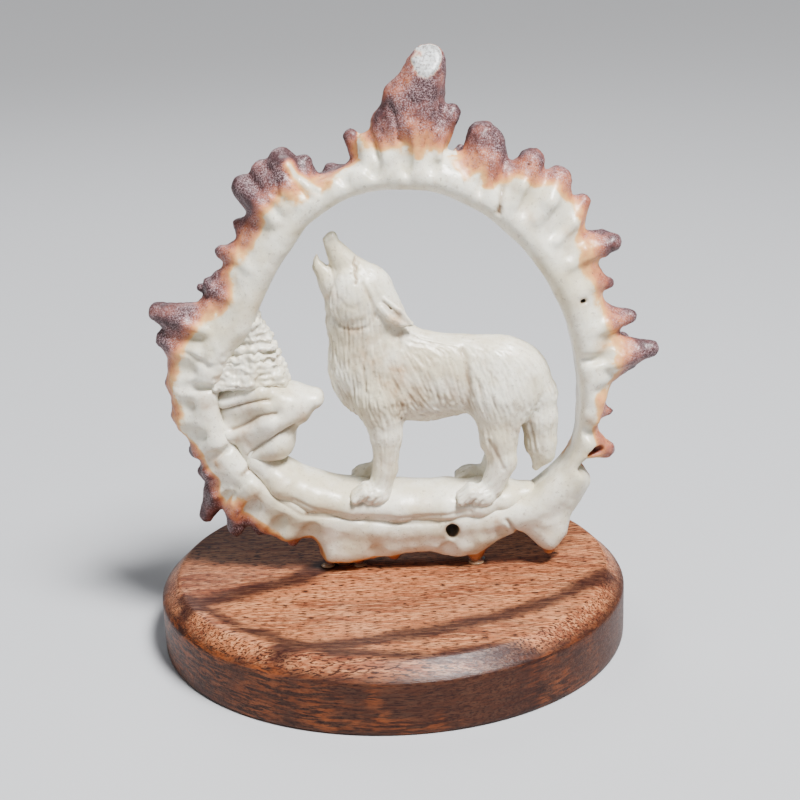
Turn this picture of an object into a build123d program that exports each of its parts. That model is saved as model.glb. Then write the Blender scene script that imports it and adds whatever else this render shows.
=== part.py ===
"""Howling wolf carved in an antler burr ring, standing on an oval hardwood plinth.

Units are millimetres. The frame is X to the right, Y to the back and Z up, with the origin at the
centre of the plinth's underside. The antler ring stands in the XZ plane at Y = 0.
"""
import os

from build123d import *

# Plinth
PLINTH_WIDTH = 100.0
PLINTH_DEPTH = 94.0
PLINTH_HEIGHT = 15.0
BEVEL_HEIGHT = 3.8
BEVEL_INSET = 3.9
UNDER_EDGE = 0.5

# Antler ring
RING_DEPTH = 13.0
SEAT = 0.05                       # hairline between the ring's feet and the wood
DRILLED_HOLE = (13.0, 25.2, 2.0)  # x, z, radius of the hole through the lower rim
VESSEL_HOLE = (40.5, 74.1, 0.8)   # x, z, radius of the small hole in the right side

# Outer line of the ring's body, at the valleys between its points, clockwise from the top
RING_VALLEYS = [
    (6, 106), (16, 103.4), (24.5, 102.3), (32.6, 99.5), (38.8, 94.5), (41.5, 87), (45, 79),
    (45.6, 73), (49.5, 67), (50, 60), (46.3, 53), (44, 46), (42.6, 41.5), (39.6, 36.4),
    (38.6, 27), (35, 20.6), (30, 20.6), (23.5, 20), (15, 17.8), (7.2, 18.6), (-4, 17.6),
    (-11, 17.2), (-17, 21.5), (-26, 23.2), (-34, 27), (-38.2, 33), (-39.4, 38), (-42.5, 45),
    (-45.3, 54), (-45.5, 63), (-42.5, 71.5), (-37, 76.5), (-32.4, 82.5), (-29.2, 89),
    (-25.4, 95), (-20, 100.5), (-12, 100.6), (-4.6, 103.5),
]

# Inner line of the ring, clockwise from the top
RING_OPENING = [
    (4, 96.5), (16, 93.6), (28, 84.4), (36, 71), (39.5, 57), (39.3, 46), (35.5, 38), (27, 32),
    (19, 28.2), (8, 26.6), (-4, 26.6), (-14, 28.6), (-23, 33.5), (-28, 41), (-32, 48),
    (-33.5, 56), (-31, 64), (-27.5, 70), (-22.8, 79), (-14, 90.3), (-6, 94.8),
]

# The ring's points: foot x, z, tip x, z, foot radius, tip radius, y of the middle
RING_POINTS = [
    (7.5, 104, 10.6, 122.6, 8.2, 3.1, 0), (3.5, 106, 4.5, 116, 6.5, 4.2, 0),
    (12.5, 108, 15.2, 112.3, 3.0, 1.6, 0), (20, 102, 20.6, 108.2, 3.6, 2.2, 0),
    (23, 101, 23.8, 106.6, 3.2, 1.6, 0), (29, 99, 31.0, 103.3, 3.6, 1.4, 0),
    (35, 96, 36.4, 99.0, 3.6, 1.9, 0), (39, 90, 41.2, 93.8, 3.0, 1.2, 0),
    (41.5, 84, 47.6, 85.0, 3.2, 1.4, 0), (43, 84.5, 45.5, 86.2, 2.0, 1.2, 0),
    (43, 77, 46.4, 76.4, 2.8, 0.8, 0), (46, 69, 51.4, 69.4, 3.2, 1.0, 0),
    (48, 61, 55.8, 62.2, 5.0, 1.2, 0), (44, 49, 46.9, 48.4, 2.6, 0.8, 0),
    (41, 41, 46.3, 40.2, 3.6, 1.5, 0), (39, 30.5, 41.4, 32.6, 3.6, 1.2, 0),
    (34, 24, 35.0, 17.4, 5.0, 1.2, 0), (36, 24, 37.8, 20.9, 3.0, 1.2, 0),
    (27, 24, 27.6, 22.6, 3.0, 1.4, 0), (18.2, 22, 18.2, 16.2, 4.6, 1.2, 0),
    (-7.6, 21, -7.6, 16.4, 3.6, 1.4, 0), (-13.2, 21, -13.4, 16.2, 3.0, 1.2, 0),
    (-20.8, 24.5, -21.4, 20.9, 3.2, 1.1, 0), (-32, 29, -33.6, 23.9, 3.6, 1.3, 0),
    (-37.5, 32, -39.6, 27.6, 3.4, 1.4, 0), (-40, 43, -41.8, 42.4, 3.2, 1.6, 0),
    (-43, 72, -46.6, 73.4, 3.8, 2.1, 0), (-43, 66, -46.9, 68.0, 3.6, 1.6, 0),
    (-33, 77, -36.6, 78.2, 3.4, 1.6, 0), (-29.6, 85, -32.4, 85.4, 2.4, 1.3, 0),
    (-25, 97, -27.8, 98.4, 3.2, 1.6, 0), (-19, 99, -19.4, 104.4, 4.2, 2.1, 0),
    (-16, 99, -16.6, 103.8, 4.0, 2.2, 0), (-9.2, 99, -9.4, 101.4, 2.0, 0.9, 3.0),
    (-3.5, 103, -5.8, 107.6, 3.0, 1.4, 3.0),
]

# Ledge under the wolf's feet: its top line from left to right
LEDGE_TOP = [(-40, 46), (-26, 40), (-21, 38), (-16, 35.8), (-8, 34.4), (3, 33.8), (14, 33.4), (23, 33), (45, 30)]
LEDGE_DEPTH = 16.0
LEDGE_EDGE = 2.4

# Rocks at the left: x, z, half width, half height, half depth, tilt in degrees
ROCKS = [
    (-25.5, 43.0, 5.4, 4.6, 6.0, 20), (-25.8, 48.2, 7.4, 3.2, 7.2, 24),
    (-23.6, 51.6, 10.4, 3.1, 7.6, 18), (-26.6, 55.2, 7.6, 2.6, 6.8, 10),
]
TREE_OUTLINE = [
    (-21.6, 57.6), (-22, 62), (-23.4, 66.4), (-25, 69.6), (-26.6, 70.4), (-30, 67), (-33, 62), (-33.6, 56),
]
TREE_DEPTH = 9.0

# Wolf. Torso sections: x, middle z, half height, half depth
TORSO = [
    (-9.6, 58.5, 5.2, 3.2), (-5, 57.8, 9.6, 5.4), (3, 58, 10.4, 6.4), (12, 57, 9.4, 6.2),
    (20, 57.6, 8.6, 5.8), (28, 55.4, 8.4, 5.6), (33.2, 53.6, 5.2, 3.2),
]
# Level sections: z, middle x, middle y, half length, half depth
NECK_AND_HEAD = [
    (58, -1.5, 0, 9.6, 5.4), (66, -3, 0, 8.4, 5.0), (73, -3.6, 0, 7.4, 5.0), (79, -5.8, 0, 5.6, 4.4),
    (83, -7.9, 0, 2.9, 2.9), (88.4, -9.5, 0, 1.3, 1.4),
]
LOWER_JAW = [(75, -9.6, 0, 2.4, 2.4), (80, -12.0, 0, 1.6, 1.8), (84.2, -13.2, 0, 0.5, 0.8)]
FORELEG = [(54, -1.0, 0, 5.6, 2.8), (45, -0.2, 0, 2.9, 2.4), (38, -0.6, 0, 2.3, 2.1), (32.5, -1.6, 0, 2.4, 2.2)]
HINDLEG = [
    (54, 25.0, 0, 6.4, 2.8), (46, 23.2, 0, 4.0, 2.5), (40, 24.2, 0, 2.8, 2.2), (36, 22.8, 0, 2.7, 2.1),
    (32, 20.6, 0, 2.6, 2.2),
]
TAIL = [(60, 30.0, 0, 3.0, 2.6), (53, 32.9, 0, 2.8, 3.0), (46, 32.2, 0, 3.3, 3.2), (40, 32.9, 0, 2.9, 2.8), (36, 31.6, 0, 1.0, 1.2)]
LEG_SPREAD = 4.2
FOREPAW_X = -4.2
HINDPAW_X = 18.6
PAW = (4.4, 2.8, 2.5)   # half length, half depth, half height
PAW_Z = 33.6
EAR = [(75, -0.6, 3.4, 1.7, 0.9), (71.6, 2.0, 4.0, 2.0, 0.9), (68.4, 4.9, 4.2, 0.8, 0.5)]

# Wood screws that hold the ring, driven from below
SCREW_X = (-10.4, 18.4)
SCREW_HEAD_RADIUS = 3.2
SCREW_HEAD_HEIGHT = 2.4
SCREW_SHANK_RADIUS = 1.75
SCREW_CORE_RADIUS = 1.2
SCREW_LENGTH = 20.0
SCREW_SHANK = 10.4
SCREW_TIP = 2.0
THREAD_PITCH = 1.4
SCREW_FLOOR = 3.6       # height of the head's underside above the floor
DRIVE_WIDTH = 0.9
DRIVE_DEPTH = 1.0

# Hardened epoxy where the ring's feet meet the wood: x, y, radius, height
GLUE_BEADS = [(-14.4, -1.4, 2.1, 0.8), (-6.4, -1.6, 2.0, 0.7), (18.3, -3.2, 2.3, 0.8)]


def upright(face_points):
    """A face in the XZ plane inside a smooth closed line through the given x, z points."""
    line = Spline(*[Vector(x, 0, z) for x, z in face_points], periodic=True)
    return make_face(line)


def slab(face, depth, middle=0.0):
    """An upright face given its depth in Y."""
    return Pos(0, middle, 0) * extrude(face, amount=depth / 2, dir=(0, 1, 0), both=True)


def tapered_point(foot, tip, foot_radius, tip_radius, middle):
    """One of the ring's points: a cone with a round end, no thicker at its foot than the ring."""
    foot_at = Vector(foot[0], 0, foot[1])
    along = Vector(tip[0], 0, tip[1]) - foot_at
    reach = along.length
    cone = Pos(0, 0, reach / 2) * Cone(foot_radius, tip_radius, reach)
    point = cone + Pos(0, 0, reach) * Sphere(tip_radius)
    half_depth = min(foot_radius, RING_DEPTH / 2 - 0.2)
    if half_depth < foot_radius:
        point = scale(point, by=(1, half_depth / foot_radius, 1))
    turned = Plane(origin=foot_at, x_dir=(along.Z, 0, -along.X), z_dir=along) * point
    return Pos(0, middle, 0) * turned


def side_loft(sections):
    """A solid through upright ellipses across X."""
    faces = [
        Plane(origin=(x, 0, z), x_dir=(0, 1, 0), z_dir=(1, 0, 0)) * Ellipse(half_depth, half_height)
        for x, z, half_height, half_depth in sections
    ]
    return loft(faces)


def level_loft(sections, side=0.0):
    """A solid through level ellipses, moved by side in Y."""
    faces = [Pos(x, y + side, z) * Ellipse(half_x, half_y) for z, x, y, half_x, half_y in sections]
    return loft(faces)


def ellipsoid(half_x, half_y, half_z):
    """A round solid with the given half sizes."""
    return scale(Sphere(1), by=(half_x, half_y, half_z))


def wood_screw(x):
    """A countersunk wood screw standing on its head, with ring-shaped threads and a cross slot."""
    bottom = SCREW_FLOOR
    top = bottom + SCREW_LENGTH
    outline = [(0, bottom), (SCREW_HEAD_RADIUS, bottom), (SCREW_SHANK_RADIUS, bottom + SCREW_HEAD_HEIGHT)]
    height = bottom + SCREW_SHANK
    outline.append((SCREW_SHANK_RADIUS, height))
    while height + THREAD_PITCH < top - SCREW_TIP:
        outline.append((SCREW_CORE_RADIUS, height + 0.3 * THREAD_PITCH))
        outline.append((SCREW_CORE_RADIUS, height + 0.6 * THREAD_PITCH))
        outline.append((SCREW_SHANK_RADIUS, height + THREAD_PITCH))
        height += THREAD_PITCH
    outline.append((SCREW_CORE_RADIUS, height + 0.3 * THREAD_PITCH))
    outline.append((0, top))
    profile = make_face(Polyline(*[Vector(r, 0, z) for r, z in outline], close=True))
    body = revolve(profile, axis=Axis.Z)
    for length_x, length_y in ((2 * SCREW_SHANK_RADIUS, DRIVE_WIDTH), (DRIVE_WIDTH, 2 * SCREW_SHANK_RADIUS)):
        body -= Pos(0, 0, bottom + DRIVE_DEPTH / 2) * Box(length_x, length_y, DRIVE_DEPTH)
    return Pos(x, 0, 0) * body


def screw_hole(x):
    """The clearance hole, countersink and access hole in the plinth for one screw."""
    outline = [
        (0, 0), (SCREW_HEAD_RADIUS, 0), (SCREW_HEAD_RADIUS, SCREW_FLOOR),
        (SCREW_SHANK_RADIUS, SCREW_FLOOR + SCREW_HEAD_HEIGHT), (SCREW_SHANK_RADIUS, PLINTH_HEIGHT), (0, PLINTH_HEIGHT),
    ]
    profile = make_face(Polyline(*[Vector(r, 0, z) for r, z in outline], close=True))
    return Pos(x, 0, 0) * revolve(profile, axis=Axis.Z)


def make_plinth():
    """The oval plinth with its bevelled upper edge and two screw holes."""
    plinth = extrude(Ellipse(PLINTH_WIDTH / 2, PLINTH_DEPTH / 2), amount=PLINTH_HEIGHT)
    top_face = plinth.faces().sort_by(Axis.Z)[-1]
    plinth = chamfer(top_face.edges(), length=BEVEL_INSET, length2=BEVEL_HEIGHT, reference=top_face)
    plinth = chamfer(plinth.faces().sort_by(Axis.Z)[0].edges(), length=UNDER_EDGE)
    for x in SCREW_X:
        plinth -= screw_hole(x)
    return plinth


def make_ring(opening):
    """The antler burr: a slab ring with all its points, its two holes and the screws' pilot holes."""
    ring = slab(upright(RING_VALLEYS) - opening, RING_DEPTH)
    points = [
        tapered_point((fx, fz), (tx, tz), foot, tip, y) for fx, fz, tx, tz, foot, tip, y in RING_POINTS
    ]
    ring = ring.fuse(*points)
    ring = ring - slab(opening, 3 * RING_DEPTH)
    for x, z, radius in (DRILLED_HOLE, VESSEL_HOLE):
        ring -= Pos(x, 0, z) * Rot(X=90) * Cylinder(radius, 3 * RING_DEPTH)
    below = Pos(0, 0, PLINTH_HEIGHT + SEAT - 10) * Box(4 * PLINTH_WIDTH, PLINTH_DEPTH, 20)
    return ring - below


def make_ledge(opening):
    """The smooth ledge in the bottom of the opening, with rounded front and back edges."""
    sky = make_face(Polyline(*[Vector(x, 0, z) for x, z in LEDGE_TOP + [(45, 110), (-40, 110)]], close=True))
    return slab(opening - sky, LEDGE_DEPTH)


def make_rocks():
    """Four flat boulders piled at the left end of the ledge."""
    pile = [
        Pos(x, 0, z) * Rot(Y=-tilt) * ellipsoid(half_x, half_y, half_z) for x, z, half_x, half_z, half_y, tilt in ROCKS
    ]
    return pile[0].fuse(*pile[1:])


def make_wolf():
    """The howling wolf, facing left with its nose up."""
    parts = [side_loft(TORSO), level_loft(NECK_AND_HEAD), level_loft(LOWER_JAW), level_loft(TAIL)]
    for side in (-LEG_SPREAD, LEG_SPREAD):
        parts.append(level_loft(FORELEG, side))
        parts.append(level_loft(HINDLEG, side))
        half_x, half_y, half_z = PAW
        for paw_x in (FOREPAW_X, HINDPAW_X):
            parts.append(Pos(paw_x, side, PAW_Z) * ellipsoid(half_x, half_y, half_z))
        ear = [(z, x, y if side > 0 else -y, half_x, half_y) for z, x, y, half_x, half_y in EAR]
        parts.append(level_loft(ear))
    return parts[0].fuse(*parts[1:])


def make_glue(neighbours):
    """Low beads of epoxy round the feet of the ring, cut clear of the ring and the screws."""
    beads = []
    for x, y, radius, height in GLUE_BEADS:
        bead = Pos(x, y, PLINTH_HEIGHT + height / 2) * Cone(radius, radius / 2, height)
        for neighbour in neighbours:
            bead -= neighbour
        beads.append(solid_of(bead))
    return beads


def solid_of(shape):
    """The largest solid of a shape, so that a cut's crumbs are left out."""
    return max(shape.solids(), key=lambda solid: solid.volume)


def main():
    """Builds every piece and writes one STEP file for each."""
    opening = upright(RING_OPENING)
    screws = [wood_screw(x) for x in SCREW_X]
    plinth = make_plinth()
    ring = make_ring(opening)
    for screw in screws:
        ring -= screw
    ring = solid_of(ring)
    ledge = solid_of(make_ledge(opening))
    rocks = solid_of(make_rocks() - ring - ledge)
    tree = solid_of(slab(upright(TREE_OUTLINE), TREE_DEPTH) - ring - rocks)
    wolf = solid_of(make_wolf() - ledge)
    beads = make_glue([ring] + screws)
    pieces = {
        "wood_plinth": plinth, "antler_ring": ring, "ground_ledge": ledge, "rock_outcrop": rocks,
        "fir_tree": tree, "wolf": wolf, "mounting_screw_left": screws[0],
        "mounting_screw_right": screws[1], "epoxy_beads": Compound(beads),
    }
    os.makedirs("parts", exist_ok=True)
    for name, shape in pieces.items():
        export_step(shape, f"parts/{name}.step")


main()
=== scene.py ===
"""Looks for the howling wolf in its antler ring. Lengths are in millimetres until a mesh is made."""

import math

import bpy
import numpy as np
import openvdb
from mathutils import Matrix, Vector


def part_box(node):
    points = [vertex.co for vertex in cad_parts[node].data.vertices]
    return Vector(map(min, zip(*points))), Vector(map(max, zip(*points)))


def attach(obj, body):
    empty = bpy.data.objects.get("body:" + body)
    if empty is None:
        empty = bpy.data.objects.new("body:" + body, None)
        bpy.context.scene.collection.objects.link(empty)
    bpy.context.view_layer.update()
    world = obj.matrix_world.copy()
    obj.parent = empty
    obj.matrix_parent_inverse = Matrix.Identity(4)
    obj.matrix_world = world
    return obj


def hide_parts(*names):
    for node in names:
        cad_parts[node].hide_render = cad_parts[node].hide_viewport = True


MM = 0.001
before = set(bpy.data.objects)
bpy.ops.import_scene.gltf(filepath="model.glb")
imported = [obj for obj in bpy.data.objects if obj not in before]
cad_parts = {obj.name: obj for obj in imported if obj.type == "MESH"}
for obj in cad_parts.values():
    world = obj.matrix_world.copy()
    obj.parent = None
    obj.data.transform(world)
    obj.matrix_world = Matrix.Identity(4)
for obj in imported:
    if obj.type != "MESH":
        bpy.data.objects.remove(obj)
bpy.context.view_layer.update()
show = bpy.context.scene.collection.objects.link
NOISE_CELLS = 64
rng = np.random.default_rng(7)
NOISE = rng.random((NOISE_CELLS, NOISE_CELLS, NOISE_CELLS)).astype(np.float32) * 2 - 1


# ---- numbers
def smooth_min(a, b, k):
    """The smaller of a and b, rounded where they are within k of each other."""
    h = np.maximum(k - np.abs(a - b), 0) / k
    return np.minimum(a, b) - h * h * k / 4


def smooth_max(a, b, k):
    return -smooth_min(-a, -b, k)


def step(a, b, x):
    """From 0 at x = a to 1 at x = b, with soft ends; a may be the larger."""
    t = np.clip((x - a) / (b - a), 0, 1)
    return t * t * (3 - 2 * t)


def bell(x, width):
    """1 at x = 0, falling to 0 over about twice the width."""
    return np.exp(-((x / width) ** 2))


def push(v, n, amount):
    """Moves the vertices v along their normals n."""
    return v + n * amount[:, None]


def noise(p, size, seed=0):
    """Smooth noise from -1 to 1 at points p, with features of the given size."""
    q = p / size + seed * 17.31
    i = np.floor(q).astype(int)
    f = q - i
    f = f * f * (3 - 2 * f)
    total = np.zeros(len(p))
    for corner in np.ndindex(2, 2, 2):
        cell = (i + corner) % NOISE_CELLS
        total += np.where(corner, f, 1 - f).prod(1) * NOISE[cell[:, 0], cell[:, 1], cell[:, 2]]
    return total


def curve(points, count=320, closed=True):
    """Catmull-Rom line through x, z points."""
    p = np.array(points, float)
    n = len(p)
    spans = n if closed else n - 1
    out = []
    for t in np.linspace(0, spans, count, endpoint=not closed):
        i = min(int(t), spans - 1)
        u = t - i
        around = [i - 1, i, i + 1, i + 2]
        a, b, c, d = p[np.mod(around, n) if closed else np.clip(around, 0, n - 1)]
        square, cube = 2 * a - 5 * b + 4 * c - d, 3 * b - a - 3 * c + d
        out.append(0.5 * (2 * b + (c - a) * u + square * u**2 + cube * u**3))
    return np.array(out)


def line_distance(px, pz, line, closed=False):
    """Distance in the XZ plane from points to a line."""
    line = np.array(line, float)
    best = np.full(px.shape, 1e9, np.float32)
    ends = np.roll(line, -1, 0) if closed else line[1:]
    for a, b in zip(line, ends):
        ab = b - a
        t = np.clip(((px - a[0]) * ab[0] + (pz - a[1]) * ab[1]) / max(ab @ ab, 1e-9), 0, 1)
        best = np.minimum(best, (px - a[0] - t * ab[0]) ** 2 + (pz - a[1] - t * ab[1]) ** 2)
    return np.sqrt(best)


def inside(px, pz, line):
    """True where a point is inside a closed line."""
    result = np.zeros(px.shape, bool)
    for a, b in zip(line, np.roll(line, -1, 0)):
        crosses = (a[1] > pz) != (b[1] > pz)
        x = a[0] + (pz - a[1]) / (b[1] - a[1] + 1e-12) * (b[0] - a[0])
        result ^= crosses & (px < x)
    return result


def depth_inside(px, pz, line):
    """Distance to a closed line, positive inside it and negative outside."""
    return line_distance(px, pz, line, True) * np.where(inside(px, pz, line), 1, -1)


# ---- distance fields
class Field:
    """A distance field on a box of voxels."""

    def __init__(self, low, high, voxel):
        self.low, self.voxel = np.array(low, float), voxel
        self.count = np.ceil((np.array(high, float) - self.low) / voxel).astype(int) + 1
        self.f = np.full(self.count, 6.0, np.float32)
        self.axes = [self.low[i] + voxel * np.arange(self.count[i]) for i in range(3)]

    def window(self, low, high):
        """The slices of the voxels between two corners, and their x, y and z."""
        cut = []
        for i in range(3):
            a = int(max(0, math.floor((low[i] - self.low[i]) / self.voxel)))
            b = int(min(self.count[i], math.ceil((high[i] - self.low[i]) / self.voxel) + 1))
            cut.append(slice(a, max(a, b)))
        x, y, z = (self.axes[i][cut[i]].astype(np.float32) for i in range(3))
        return tuple(cut), x[:, None, None], y[None, :, None], z[None, None, :]

    def put(self, d, cut, k, carve=False):
        """Adds or carves away the shape whose distances are d, with a blend k wide."""
        old = self.f[cut]
        if old.size:
            self.f[cut] = smooth_max(old, -d, k) if carve else smooth_min(old, d, k)

    def cone(self, a, b, ra, rb, k=1.0, flat=1.0, carve=False):
        """A cone with round ends from a to b, its Y size times flat."""
        a, b = np.array(a, float), np.array(b, float)
        r = max(ra, rb)
        pad = np.array([r, r * max(flat, 1), r]) + k + self.voxel
        cut, x, y, z = self.window(np.minimum(a, b) - pad, np.maximum(a, b) + pad)
        ab = b - a
        y0 = (a[1] + b[1]) / 2
        yy = (y - y0) / flat + y0
        t = ((x - a[0]) * ab[0] + (yy - a[1]) * ab[1] + (z - a[2]) * ab[2]) / max(ab @ ab, 1e-9)
        t = np.clip(t, 0, 1)
        d = np.sqrt((x - a[0] - t * ab[0]) ** 2 + (yy - a[1] - t * ab[1]) ** 2 + (z - a[2] - t * ab[2]) ** 2)
        self.put((d - (ra + (rb - ra) * t)) * min(1, 0.35 + 0.65 * flat), cut, k, carve)

    def ball(self, c, radii, tilt=0.0, k=1.0, carve=False):
        """An ellipsoid, turned by tilt degrees in the XZ plane."""
        c, radii = np.array(c, float), np.array(radii, float)
        pad = radii.max() + k + self.voxel
        cut, x, y, z = self.window(c - pad, c + pad)
        s, q = math.sin(math.radians(tilt)), math.cos(math.radians(tilt))
        x, y, z = x - c[0], y - c[1], z - c[2]
        u, v = q * x + s * z, -s * x + q * z
        k0 = np.sqrt((u / radii[0]) ** 2 + (y / radii[1]) ** 2 + (v / radii[2]) ** 2)
        k1 = np.sqrt((u / radii[0] ** 2) ** 2 + (y / radii[1] ** 2) ** 2 + (v / radii[2] ** 2) ** 2)
        self.put(k0 * (k0 - 1) / np.maximum(k1, 1e-6), cut, k, carve)

    def rest_on(self, height):
        """Cuts everything off below a height."""
        self.f = np.maximum(self.f, (height - self.axes[2])[None, None, :].astype(np.float32))

    def mesh(self):
        """Vertices and quads of the zero surface, facing outwards."""
        grid = openvdb.FloatGrid(6.0)
        grid.copyFromArray(np.ascontiguousarray(self.f))
        points, quads = grid.convertToQuads(isovalue=0.0)
        v = points.astype(float) * self.voxel + self.low
        a, b, c, d = (v[quads[:, i]] for i in range(4))
        n = np.cross(c - a, d - b)
        if (n * (a + b + c + d)).sum() < 0:
            quads = quads[:, ::-1]
        return v, np.ascontiguousarray(quads)


def normals(v, quads):
    n = np.cross(v[quads[:, 2]] - v[quads[:, 0]], v[quads[:, 3]] - v[quads[:, 1]])
    total = np.zeros_like(v)
    for i in range(4):
        np.add.at(total, quads[:, i], n)
    return total / np.maximum(np.linalg.norm(total, axis=1), 1e-9)[:, None]


def settle(v, quads, rounds=1):
    """Moves each vertex halfway to the middle of its faces, which takes out voxel steps."""
    for i in range(rounds):
        middle = v[quads].mean(1)
        total = np.zeros_like(v)
        count = np.zeros(len(v))
        for j in range(4):
            np.add.at(total, quads[:, j], middle)
            np.add.at(count, quads[:, j], 1)
        v = v + 0.5 * (total / np.maximum(count, 1)[:, None] - v)
    return v


def make(name, v, faces, material, node, slot, **values):
    """A Blender mesh in metres that stands for a CAD node, with per-vertex values."""
    data = bpy.data.meshes.new(name)
    data.from_pydata((v * MM).tolist(), [], faces)
    data.polygons.foreach_set("use_smooth", np.ones(len(data.polygons), bool))
    for key, value in values.items():
        layer = data.attributes.new(key, "FLOAT", "POINT")
        layer.data.foreach_set("value", np.asarray(value, np.float32))
    data.update()
    piece = bpy.data.objects.new(name, data)
    show(piece)
    data.materials.append(material)
    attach(piece, "root")
    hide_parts(node)
    print("piece", name, len(faces), "faces", v.min(0).round(2), v.max(0).round(2))
    return piece


# ---- materials
class Nodes:
    """Short words for building a material."""

    def __init__(self, name):
        self.material = bpy.data.materials.new(name)
        self.material.use_nodes = True
        self.tree = self.material.node_tree
        self.shader = self.tree.nodes["Principled BSDF"]

    def add(self, kind, **settings):
        node = self.tree.nodes.new(kind)
        for key, value in settings.items():
            setattr(node, key, value)
        return node

    def link(self, a, b):
        self.tree.links.new(a, b)

    def value(self, name):
        """A per-vertex value."""
        return self.add("ShaderNodeAttribute", attribute_name=name).outputs["Fac"]

    def place(self, scale=(1, 1, 1)):
        """The place on the object in metres, times scale."""
        where = self.add("ShaderNodeTexCoord").outputs["Object"]
        mapping = self.add("ShaderNodeMapping")
        mapping.inputs["Scale"].default_value = scale
        self.link(where, mapping.inputs["Vector"])
        return mapping.outputs["Vector"]

    def noise(self, scale, detail=3.0, rough=0.5, vector=None, distortion=0.0):
        node = self.add("ShaderNodeTexNoise")
        sizes = {"Scale": scale, "Detail": detail, "Roughness": rough, "Distortion": distortion}
        for key, x in sizes.items():
            node.inputs[key].default_value = x
        self.link(vector or self.place(), node.inputs["Vector"])
        return node.outputs["Fac"]

    def ramp(self, source, stops):
        node = self.add("ShaderNodeValToRGB")
        marks = node.color_ramp.elements
        while len(marks) < len(stops):
            marks.new(0.5)
        for mark, (at, colour) in zip(marks, stops):
            mark.position = at
            mark.color = (*colour, 1)
        self.link(source, node.inputs["Fac"])
        return node.outputs["Color"]

    def math(self, operation, a, b, c=None, clamp=False):
        node = self.add("ShaderNodeMath", operation=operation, use_clamp=clamp)
        for i, x in enumerate((a, b, c)):
            if x is None:
                continue
            if isinstance(x, (int, float)):
                node.inputs[i].default_value = x
            else:
                self.link(x, node.inputs[i])
        return node.outputs[0]

    def spread(self, source, low, high, to_low=0.0, to_high=1.0):
        """Maps low to to_low and high to to_high, with soft ends."""
        node = self.add("ShaderNodeMapRange", interpolation_type="SMOOTHSTEP")
        for i, x in enumerate((low, high, to_low, to_high)):
            node.inputs[i + 1].default_value = x
        self.link(source, node.inputs[0])
        return node.outputs[0]

    def mix(self, share, a, b):
        """From colour a at share 0 to colour b at share 1."""
        node = self.add("ShaderNodeMix", data_type="RGBA")
        for socket, x in ((node.inputs[0], share), (node.inputs[6], a), (node.inputs[7], b)):
            if isinstance(x, tuple):
                socket.default_value = (*x, 1)
            else:
                self.link(x, socket)
        return node.outputs[2]

    def bump(self, height, strength, distance, under=None):
        node = self.add("ShaderNodeBump")
        node.inputs["Strength"].default_value = strength
        node.inputs["Distance"].default_value = distance
        self.link(height, node.inputs["Height"])
        if under is not None:
            self.link(under, node.inputs["Normal"])
        return node.outputs["Normal"]

    def set(self, **values):
        for key, value in values.items():
            socket = self.shader.inputs[key.replace("_", " ")]
            if isinstance(value, (int, float, tuple)):
                socket.default_value = value
            else:
                self.link(value, socket)


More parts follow.
